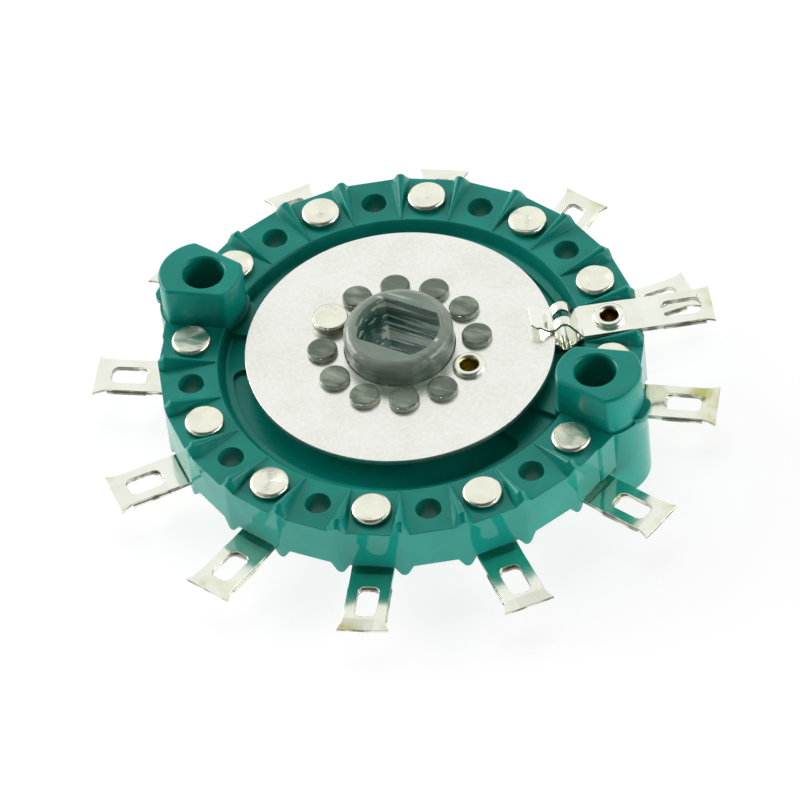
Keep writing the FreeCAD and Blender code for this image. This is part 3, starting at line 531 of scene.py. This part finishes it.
def plated_strip(name):
    """Silver plate with handling marks, streaked sheared edges carrying painted shade and painted
    glints, and straw tarnish at the lug's tip.
    """
    material, tree, shader = new_material(name)
    shader.inputs["Metallic"].default_value = 1.0
    place = object_place(tree)
    cloud = noise_on(tree, place, SILVER_CLOUD_SCALE, detail=5.0)
    plate = blend(tree, value_range(tree, cloud, *SILVER_CLOUDS), SILVER_SHADE, SILVER)
    plate = blend(tree, tarnish_patches(tree, place, cloud), plate, TARNISH)
    # The sheared sides are streaked dark and bright: a dull and burnished cut, with painted shade and
    # painted reflection of white.
    side = edge_on(tree)
    streaks = value_range(tree, noise_on(tree, place, SHEAR_SCALE, detail=4.0), *SHEAR_STREAKS)
    sheared = blend(tree, streaks, SHEARED_DULL_AND_PAINTED_SHADE, SHEARED_BURNISH_AND_PAINTED_GLINT)
    tree.links.new(blend(tree, side, plate, sheared), shader.inputs["Base Color"])
    rough = value_range(tree, cloud, *NOISE_SPREAD, *STRIP_ROUGHNESS)
    rough = sum_node(tree, "MULTIPLY_ADD", side, SIDE_ROUGHNESS, rough)
    tree.links.new(rough, shader.inputs["Roughness"])
    scuffs = noise_on(tree, place, SCUFF_SCALE, detail=2.0)
    add_bump(tree, shader, scuffs, distance=0.02 * MM, strength=0.25)
    return material


def strip_on_axis(node, name, angle):
    """A strip turned back from its angle to the +X axis, cut across where it will be bent."""
    strip = whole_copy(node, name)
    strip.data.transform(Matrix.Rotation(-angle, 4, "Z"))
    mesh = bmesh.new()
    mesh.from_mesh(strip.data)
    cuts = [((cut * MM, 0, 0), (1, 0, 0)) for cut in LUG_CUTS]
    cuts += [((0, cut * MM, 0), (0, 1, 0)) for cut in LUG_LONG_CUTS]
    for point, direction in cuts:
        outer = [face for face in mesh.faces if face.calc_center_median().x > SAG_START]
        parts = set(outer)
        for face in outer:
            parts.update(face.verts)
            parts.update(face.edges)
        bmesh.ops.bisect_plane(mesh, geom=list(parts), plane_co=point, plane_no=direction)
    mesh.to_mesh(strip.data)
    mesh.free()
    return strip


strip_finish = plated_strip("silvered_strip")
for kind, name in (("lug", "solder_lugs"), ("spring", "spring_strips")):
    strip = strip_on_axis(f"terminal_{kind}_01", name, FIRST_TERMINAL)
    soften_edges(strip, STRIP_EDGE_SOFTNESS)
    keep_local(strip)
    repeat_on_circle(strip, strip_finish, LUG_ROWS)
    nodes = [f"terminal_{kind}_{number:02d}" for number in range(1, TERMINAL_COUNT + 1)]
    take_place(strip, "stator", "silvered_spring", strip_finish, *nodes)

# Solid silvered rivets clench each pair of strips to the ring.
# Their heads are pressed nearly flat, with soft rims, turned marks and the odd dent from the punch,
# and painted shade on their sides.
RIVET_PITCH_RADIUS = 15.1 * MM
RIVET_EDGE_SOFTNESS = 0.09 * MM
RIVET_EDGE_STEPS = 3
RIVET_SPIN = math.radians(180)
RIVET_TILT = math.radians(1.2)
RIVET_SEED = 3
RIVET_BRIGHT = (0.88, 0.89, 0.76, 1.0)
RIVET_SHADE = (0.78, 0.79, 0.64, 1.0)
RIVET_CLOUDS = (0.3, 0.6)
RIVET_CLOUD_SCALE = 700.0
RIVET_SIDE_PAINTED_SHADE = (0.40, 0.40, 0.33, 1.0)
RIVET_ROUGHNESS = (0.18, 0.32)
TURNING_SCALE = 2200.0
TURNING_PATCH_SCALE = 500.0
TURNING_PATCHES = (0.45, 0.65)
DENT_SCALE = 1100.0
DENT_DEPTH = 2.0


def turned_marks(tree):
    """Rings round the middle of each rivet, a little uneven, as the turned rod had them."""
    rings = tree.nodes.new("ShaderNodeTexWave")
    rings.wave_type = "RINGS"
    rings.rings_direction = "Z"
    rings.inputs["Scale"].default_value = TURNING_SCALE
    rings.inputs["Distortion"].default_value = 2.0
    rings.inputs["Detail"].default_value = 3.0
    tree.links.new(stored(tree, "local")["Vector"], rings.inputs["Vector"])
    return rings.outputs["Fac"]


def pressed_rivet(name):
    """Silver plate that the punch left slightly dull, with turned marks, shallow dents and painted
    shade down the sides of the heads.
    """
    material, tree, shader = new_material(name)
    shader.inputs["Metallic"].default_value = 1.0
    place = object_place(tree)
    cloud = noise_on(tree, place, RIVET_CLOUD_SCALE, detail=4.0)
    plate = blend(tree, value_range(tree, cloud, *RIVET_CLOUDS), RIVET_SHADE, RIVET_BRIGHT)
    # Painted shade: the steep sides of each head are painted dark grey.
    side = edge_on(tree, 0.1, 0.6)
    tree.links.new(blend(tree, side, plate, RIVET_SIDE_PAINTED_SHADE), shader.inputs["Base Color"])
    rough = value_range(tree, cloud, *NOISE_SPREAD, *RIVET_ROUGHNESS)
    tree.links.new(rough, shader.inputs["Roughness"])
    patch = noise_on(tree, place, TURNING_PATCH_SCALE, detail=2.0)
    patch = value_range(tree, patch, *TURNING_PATCHES)
    marks = sum_node(tree, "MULTIPLY", turned_marks(tree), patch)
    dents = noise_on(tree, place, DENT_SCALE, detail=3.0)
    height = sum_node(tree, "MULTIPLY_ADD", dents, DENT_DEPTH, marks)
    add_bump(tree, shader, height, distance=0.03 * MM, strength=0.8)
    return material


rivet_finish = pressed_rivet("pressed_rivet")
rivets = whole_copy("terminal_rivet_01", "clip_rivets")
to_axis = Matrix.Rotation(-FIRST_TERMINAL, 4, "Z")
rivets.data.transform(Matrix.Translation((-RIVET_PITCH_RADIUS, 0, 0)) @ to_axis)
soften_edges(rivets, RIVET_EDGE_SOFTNESS, RIVET_EDGE_STEPS)
keep_local(rivets)
rivet_rows = [(row[0], 0, 0, 0, 0, 0) for row in LUG_ROWS]
repeat_on_circle(
    rivets, rivet_finish, rivet_rows,
    pitch_radius=RIVET_PITCH_RADIUS, spin=RIVET_SPIN, tilt=RIVET_TILT, seed=RIVET_SEED)
nodes = [f"terminal_rivet_{number:02d}" for number in range(1, TERMINAL_COUNT + 1)]
take_place(rivets, "stator", "silvered_rivet", rivet_finish, *nodes)

# The common clip sits on top of the ring: the same two strips, held by a rolled eyelet.
# It always touches the disc, one finger above it and one below. Its row has the lugs' columns.
COMMON_ROWS = ((30, 0, 0, 0.05, -0.15, 0.7),)
COMMON_ANGLE = math.radians(COMMON_ROWS[0][0])

for node, name in (
    ("common_upper_leaf", "common_top_strip"),
    ("common_lower_leaf", "common_under_strip"),
):
    leaf = strip_on_axis(node, name, COMMON_ANGLE)
    soften_edges(leaf, STRIP_EDGE_SOFTNESS)
    keep_local(leaf)
    repeat_on_circle(leaf, strip_finish, COMMON_ROWS)
    take_place(leaf, "stator", "silvered_spring", strip_finish, node)

# Two rolled eyelets: one holds the common clip, and one ties the disc to the blade under the rotor.
# They are silvered outside, and their bores show bare brass, stained brown in the clip's eyelet and
# still yellow in the disc's.
EYELET_RIM_RADIUS = 0.72 * MM
BORE_EDGE = 0.97
CLIP_BORE = ((0.16, 0.085, 0.035, 1.0), (0.50, 0.36, 0.16, 1.0))
DISC_BORE = ((0.42, 0.36, 0.10, 1.0), (0.84, 0.75, 0.24, 1.0))
STAIN_SCALE = 1200.0
STAIN_PATCHES = (0.35, 0.65)
EYELET_ROUGHNESS = (0.2, 0.36)


def rolled_eyelet(name, bore_colours):
    """Dull silver plate on the rolled rim, and bare brass with stains down the bore."""
    material, tree, shader = new_material(name)
    shader.inputs["Metallic"].default_value = 1.0
    cloud = noise_on(tree, object_place(tree), STAIN_SCALE, detail=3.0)
    brass = blend(tree, value_range(tree, cloud, *STAIN_PATCHES), *bore_colours)
    plate = blend(tree, value_range(tree, cloud, *RIVET_CLOUDS), SILVER_SHADE, SILVER)
    reach = height_and_reach(tree, stored(tree, "local")["Vector"])[1]
    inner_edge = BORE_EDGE * EYELET_RIM_RADIUS
    bore = value_range(tree, reach, inner_edge, EYELET_RIM_RADIUS, 1.0, 0.0)
    tree.links.new(blend(tree, bore, plate, brass), shader.inputs["Base Color"])
    rough = value_range(tree, cloud, *NOISE_SPREAD, *EYELET_ROUGHNESS)
    tree.links.new(rough, shader.inputs["Roughness"])
    add_bump(tree, shader, cloud, distance=0.02 * MM, strength=0.4)
    return material


for node, name, body, colours in (
    ("common_eyelet", "clip_eyelet", "stator", CLIP_BORE),
    ("rotor_eyelet", "disc_eyelet", "rotor", DISC_BORE),
):
    eyelet = whole_copy(node, name)
    soften_edges(eyelet, RIVET_EDGE_SOFTNESS, RIVET_EDGE_STEPS)
    box = [Vector(corner) for corner in eyelet.bound_box]
    keep_local(eyelet, (box[0] + box[6]) / 2)
    take_place(eyelet, body, "brass_eyelet", rolled_eyelet(name, colours), node)

# The rotor is injected in smoke-grey, half-clear plastic: hub, flange and ten pegs in one piece.
# Its hole is painted lighter and greener, and its depth painted dark green: painted shade with the
# ring's green seen through.
# Flow marks streak it, and painted white glints lie on the ledges inside the hole.
HUB_EDGE_SOFTNESS = 0.07 * MM
SMOKE_CLEAR = (0.36, 0.43, 0.345, 1.0)
SMOKE_GREY = (0.215, 0.27, 0.212, 1.0)
SMOKE_STREAKS = (0.38, 0.66)
SMOKE_ROUGHNESS = (0.08, 0.24)
SMOKE_FLOW_SCALE = 1900.0
SMOKE_CLOUD_SCALE = 450.0
FLOW_TURN = (0.0, 0.0, math.radians(25))
FLOW_STRETCH = (0.25, 1.0, 1.6)
RIM_LEVEL = 9.75 * MM
RIM_FADE = 0.8 * MM
RIM_SHARE = 0.6
SMOKE_RIM_PAINTED_LIGHT = (0.56, 0.63, 0.51, 1.0)
HOLE_REACH = 3.35 * MM
HOLE_SHARE = 0.8
SMOKE_HOLE_PAINTED_LIGHT = (0.25, 0.36, 0.29, 1.0)
DEEP_PAINTED_SHADE_GREEN = (0.003, 0.130, 0.095, 1.0)
DEEP_LEVELS = (7.8 * MM, 8.8 * MM)
PAINTED_GLINT = (0.88, 0.96, 0.88, 1.0)
PAINTED_GLINT_SCALE = 1300.0
PAINTED_GLINT_PATCHES = (0.57, 0.62)
LEDGE_STRETCH = (0.35, 1.0, 1.0)
PEG_REACH = 4.55 * MM
PEG_TOP = 7.925 * MM
PEG_ROUNDING = 0.2 * MM
PEG_RIM_ANGLE = 0.5
PEG_CLEAR_AND_SHEEN = (0.52, 0.60, 0.46, 1.0)
PEG_GREY = (0.170, 0.225, 0.150, 1.0)
PEG_STREAKS = (0.48, 0.66)
PEG_SIDE_PAINTED_LIGHT = (0.66, 0.71, 0.60, 1.0)


def stretched(tree, place, scale, rotation=(0.0, 0.0, 0.0)):
    """A place turned and scaled, so that noise on it comes out in long lumps."""
    mapping = tree.nodes.new("ShaderNodeMapping")
    mapping.inputs["Rotation"].default_value = rotation
    mapping.inputs["Scale"].default_value = scale
    tree.links.new(place, mapping.inputs["Vector"])
    return mapping.outputs["Vector"]


def smoke_tint(tree, place, along_flow, streak):
    """The body colour, then over it the painted-light rim, the painted-light hole, the pegs, the
    painted-shade green depth and the painted glints.
    """
    height, reach = height_and_reach(tree, place)
    # Painted light: the top rim of the hub is painted lighter.
    painted_rim_light = value_range(tree, height, RIM_LEVEL - RIM_FADE, RIM_LEVEL, 0.0, RIM_SHARE)
    # Painted light: the hole is painted lighter and greener, standing in for the ring's green seen
    # through the plastic.
    inside = value_range(tree, reach, BORE_EDGE * HOLE_REACH, HOLE_REACH, 1.0, 0.0)
    outside = value_range(tree, reach, PEG_REACH - 0.1 * MM, PEG_REACH)
    # The pegs' lighter streaks are flow marks and painted sheen; their steep sides are painted
    # lighter, as painted light through the plastic.
    peg = blend(tree, value_range(tree, streak, *PEG_STREAKS), PEG_GREY, PEG_CLEAR_AND_SHEEN)
    peg = blend(tree, edge_on(tree, 0.2, 0.8), peg, PEG_SIDE_PAINTED_LIGHT)
    # Painted shade: the depth of the hole is painted dark green.
    deep = value_range(tree, height, *DEEP_LEVELS, 1.0, 0.0)
    # Painted glints: broken white highlights on the ledges inside the hole.
    ledges = noise_on(tree, stretched(tree, along_flow, LEDGE_STRETCH), PAINTED_GLINT_SCALE, detail=2.0)
    lights = value_range(tree, ledges, *PAINTED_GLINT_PATCHES)
    tint = blend(tree, value_range(tree, streak, *SMOKE_STREAKS), SMOKE_GREY, SMOKE_CLEAR)
    for amount, colour in (
        (painted_rim_light, SMOKE_RIM_PAINTED_LIGHT),
        (sum_node(tree, "MULTIPLY", inside, HOLE_SHARE), SMOKE_HOLE_PAINTED_LIGHT),
        (outside, peg),
        (sum_node(tree, "MULTIPLY", inside, deep), DEEP_PAINTED_SHADE_GREEN),
        (sum_node(tree, "MULTIPLY", inside, lights), PAINTED_GLINT),
    ):
        tint = blend(tree, amount, tint, colour)
    return tint


def smoke_plastic():
    """Tinted half-clear moulding, streaked by the flow, with painted green shade and painted white
    glints in its hole.
    """
    material, tree, shader = new_material("smoke_moulding")
    place = object_place(tree)
    along_flow = stretched(tree, place, FLOW_STRETCH, FLOW_TURN)
    flow = noise_on(tree, along_flow, SMOKE_FLOW_SCALE, detail=5.0)
    cloud = noise_on(tree, place, SMOKE_CLOUD_SCALE, detail=3.0)
    streak = sum_node(tree, "MULTIPLY_ADD", flow, 0.5, sum_node(tree, "MULTIPLY", cloud, 0.5))
    tint = smoke_tint(tree, place, along_flow, streak)
    tree.links.new(tint, shader.inputs["Base Color"])
    shader.inputs["Transmission Weight"].default_value = 0.4
    shader.inputs["Coat Weight"].default_value = 0.2
    shader.inputs["Coat Roughness"].default_value = 0.06
    shader.inputs["IOR"].default_value = 1.5
    rough = value_range(tree, flow, *NOISE_SPREAD, *SMOKE_ROUGHNESS)
    tree.links.new(rough, shader.inputs["Roughness"])
    add_bump(tree, shader, streak, distance=0.25 * MM, strength=0.8)
    return material


def on_peg_rim(edge):
    """Whether an edge is part of the sharp upper rim of a peg."""
    ends = [corner.co for corner in edge.verts]
    on_top = all(abs(end.z - PEG_TOP) < 0.02 * MM for end in ends)
    far_out = all(end.xy.length > 0.95 * PEG_REACH for end in ends)
    return on_top and far_out and edge.calc_face_angle(0.0) >= PEG_RIM_ANGLE


def round_pegs(piece):
    """Rounds the upper rims of the pegs, which were melted down onto the disc."""
    mesh = bmesh.new()
    mesh.from_mesh(piece.data)
    rims = [edge for edge in mesh.edges if on_peg_rim(edge)]
    bmesh.ops.bevel(mesh, geom=rims, offset=PEG_ROUNDING, segments=3, profile=0.5, affect="EDGES")
    mesh.to_mesh(piece.data)
    mesh.free()


hub = whole_copy("rotor_hub", "rotor_moulding")
round_pegs(hub)
soften_edges(hub, HUB_EDGE_SOFTNESS)
take_place(hub, "rotor", "smoke_moulding", smoke_plastic(), "rotor_hub")

# The round contact and the nosed blade are blanked from silver-plated sheet.
# The pegs hold them, and the sliding fingers keep them polished.
DISC_BRIGHT = (0.91, 0.92, 0.87, 1.0)
DISC_SHADE = (0.80, 0.815, 0.745, 1.0)
DISC_SIDE_DULL_AND_SHADE = (0.42, 0.46, 0.42, 1.0)
DISC_ROUGHNESS = (0.22, 0.34)
DISC_SIDE_ROUGHNESS = 0.15
MOTTLE_SCALE = 380.0
GRAIN_SCALE = 3200.0
GRAIN_SPREAD = (0.35, 0.65)
WIPE_SCALE = 1500.0


def wiped_silver():
    """Polished silver plate with a faint mottle, fine scuffs and sheared edges painted greenish grey:
    a duller cut with painted shade and painted green reflection.
    """
    material, tree, shader = new_material("wiped_silver")
    shader.inputs["Metallic"].default_value = 1.0
    place = object_place(tree)
    cloud = noise_on(tree, place, MOTTLE_SCALE, detail=6.0)
    grain = noise_on(tree, place, GRAIN_SCALE, detail=5.0)
    half = sum_node(tree, "MULTIPLY", value_range(tree, cloud, *SILVER_CLOUDS), 0.5)
    fine = value_range(tree, grain, *GRAIN_SPREAD)
    mottle = sum_node(tree, "MULTIPLY_ADD", fine, 0.5, half)
    plate = blend(tree, mottle, DISC_SHADE, DISC_BRIGHT)
    # The sheared edges are a duller cut, painted greenish grey as painted shade and painted
    # reflection of the green ring.
    side = edge_on(tree)
    tree.links.new(blend(tree, side, plate, DISC_SIDE_DULL_AND_SHADE), shader.inputs["Base Color"])
    rough = value_range(tree, cloud, *NOISE_SPREAD, *DISC_ROUGHNESS)
    rough = sum_node(tree, "MULTIPLY_ADD", side, DISC_SIDE_ROUGHNESS, rough)
    tree.links.new(rough, shader.inputs["Roughness"])
    wipes = noise_on(tree, place, WIPE_SCALE, detail=5.0)
    add_bump(tree, shader, wipes, distance=0.015 * MM, strength=0.4)
    return material


silver_finish = wiped_silver()
for node, name in (("rotor_disc", "silver_disc"), ("rotor_blade", "silver_blade")):
    sheet = whole_copy(node, name)
    soften_edges(sheet, STRIP_EDGE_SOFTNESS)
    take_place(sheet, "rotor", "polished_silver", silver_finish, node)

# One more solid rivet, of the same stock as those of the ring, ties disc and blade together.
# It sits across from the eyelet, between the pegs.
disc_rivet = whole_copy("rotor_rivet", "disc_rivet")
soften_edges(disc_rivet, RIVET_EDGE_SOFTNESS, RIVET_EDGE_STEPS)
keep_local(disc_rivet)
take_place(disc_rivet, "rotor", "silvered_rivet", rivet_finish, "rotor_rivet")

# The camera stands where the photograph was taken from: a long lens, well back from the part.
# Its place was worked out from the twelve rivets, the open rivet holes and the boss bores.
CAMERA_AZIMUTH = math.radians(27.668)
CAMERA_ELEVATION = math.radians(47.429)
CAMERA_ROLL = math.radians(-6.866)
CAMERA_DISTANCE = 434.08 * MM
CAMERA_AIM = Vector((0.744 * MM, -2.403 * MM, 4.39 * MM))
CAMERA_LENS = 273.86
CAMERA_SENSOR = 36.0
CAMERA_NEAR = 0.01
CAMERA_FAR = 10.0

back = Vector((
    math.sin(CAMERA_AZIMUTH) * math.cos(CAMERA_ELEVATION),
    -math.cos(CAMERA_AZIMUTH) * math.cos(CAMERA_ELEVATION),
    math.sin(CAMERA_ELEVATION),
))
lens = bpy.data.cameras.new("photo_camera")
lens.lens = CAMERA_LENS
lens.sensor_width = CAMERA_SENSOR
lens.clip_start = CAMERA_NEAR
lens.clip_end = CAMERA_FAR
camera = bpy.data.objects.new("photo_camera", lens)
camera.rotation_mode = "QUATERNION"
camera.location = CAMERA_AIM + back * CAMERA_DISTANCE
roll = Quaternion((0, 0, 1), CAMERA_ROLL)
camera.rotation_quaternion = (-back).to_track_quat("-Z", "Y") @ roll
bpy.context.scene.collection.objects.link(camera)
bpy.context.scene.camera = camera

# The part lies on a plain white table, lit so that it looks white wherever it is seen.
# It keeps a soft shadow, and it throws light up at the part, most of it from close by.
TABLE_SIZE = 2.0
TABLE_WHITE = (0.9, 0.9, 0.9, 1.0)
TABLE_ROUGHNESS = 0.7
TABLE_SHADE = (0.25, 0.25, 0.25, 1.0)
TABLE_GLOW = 0.82
TABLE_BOUNCE = 1.45
FAR_BOUNCE = 0.2
BOUNCE_REACH = (0.04, 0.2)
WHITE = (1.0, 1.0, 1.0, 1.0)


def seen_directly(tree):
    """1 for what the camera sees, straight or by way of metal and clear plastic, else 0."""
    path = tree.nodes.new("ShaderNodeLightPath").outputs
    seen = sum_node(tree, "MAXIMUM", path["Is Camera Ray"], path["Is Glossy Ray"])
    return sum_node(tree, "MAXIMUM", seen, path["Is Transmission Ray"])


def table_white():
    """A plain pale surface that looks white where it is seen, and still keeps a soft shadow."""
    material, tree, shader = new_material("table_white")
    shader.inputs["Base Color"].default_value = TABLE_WHITE
    shader.inputs["Roughness"].default_value = TABLE_ROUGHNESS
    shader.inputs["Emission Color"].default_value = WHITE
    away = vector_number(tree, "LENGTH", object_place(tree))
    bounce = value_range(tree, away, *BOUNCE_REACH, TABLE_BOUNCE, FAR_BOUNCE)
    tree.links.new(bounce, shader.inputs["Emission Strength"])
    shadow = tree.nodes.new("ShaderNodeBsdfDiffuse")
    shadow.inputs["Color"].default_value = TABLE_SHADE
    glow = tree.nodes.new("ShaderNodeEmission")
    glow.inputs["Strength"].default_value = TABLE_GLOW
    shown = tree.nodes.new("ShaderNodeAddShader")
    tree.links.new(shadow.outputs["BSDF"], shown.inputs[0])
    tree.links.new(glow.outputs["Emission"], shown.inputs[1])
    mix = tree.nodes.new("ShaderNodeMixShader")
    tree.links.new(seen_directly(tree), mix.inputs["Fac"])
    tree.links.new(shader.outputs["BSDF"], mix.inputs[1])
    tree.links.new(shown.outputs["Shader"], mix.inputs[2])
    tree.links.new(mix.outputs["Shader"], tree.nodes["Material Output"].inputs["Surface"])
    return material


bpy.ops.mesh.primitive_plane_add(size=TABLE_SIZE, location=(0, 0, 0))
table = bpy.context.object
table.name = "table"
table.data.materials.append(table_white())

# The room round the table is white too, and gives the part a little light from all sides.
# Only the side where the photographer stands is dark, which shows in the polished metal.
SKY_LIGHT = 0.12
FRONT_DARKNESS = 0.9
FRONT_SPREAD = (0.35, 0.75)

world = bpy.data.worlds.new("studio")
bpy.context.scene.world = world
world.use_nodes = True
sky = world.node_tree
background = sky.nodes["Background"].inputs
background["Color"].default_value = WHITE
direction = sky.nodes.new("ShaderNodeTexCoord").outputs["Generated"]
front = vector_number(sky, "DOT_PRODUCT", direction, back)
dark_side = value_range(sky, front, *FRONT_SPREAD, 0.0, FRONT_DARKNESS)
mirrored = sky.nodes.new("ShaderNodeLightPath").outputs["Is Glossy Ray"]
dimmed = sum_node(sky, "SUBTRACT", 1.0, sum_node(sky, "MULTIPLY", dark_side, mirrored))
brightness = value_range(sky, seen_directly(sky), 0.0, 1.0, SKY_LIGHT, 1.0)
sky.links.new(sum_node(sky, "MULTIPLY", brightness, dimmed), background["Strength"])

# Three soft boxes light the part: a large one overhead at the back and a low one on either side.
# Each row has its name, place, width, height, power in watts, and whether the metal mirrors it.
LIGHT_AIM = Vector((0, 0, 5 * MM))
SOFT_BOXES = (
    ("back_box", (-0.25, 0.35, 0.60), 0.6, 0.5, 2.8, False),
    ("left_box", (-0.45, 0.02, 0.17), 0.35, 0.22, 1.6, True),
    ("right_box", (0.62, 0.12, 0.22), 0.5, 0.3, 2.0, True),
)

for name, place, width, height, power, mirrored_in_metal in SOFT_BOXES:
    light = bpy.data.lights.new(name, "AREA")
    light.shape = "RECTANGLE"
    light.size = width
    light.size_y = height
    light.energy = power
    soft_box = bpy.data.objects.new(name, light)
    soft_box.location = place
    soft_box.rotation_mode = "QUATERNION"
    soft_box.rotation_quaternion = (LIGHT_AIM - Vector(place)).to_track_quat("-Z", "Y")
    soft_box.visible_glossy = mirrored_in_metal
    bpy.context.scene.collection.objects.link(soft_box)

bpy.context.scene.view_settings.view_transform = "Standard"
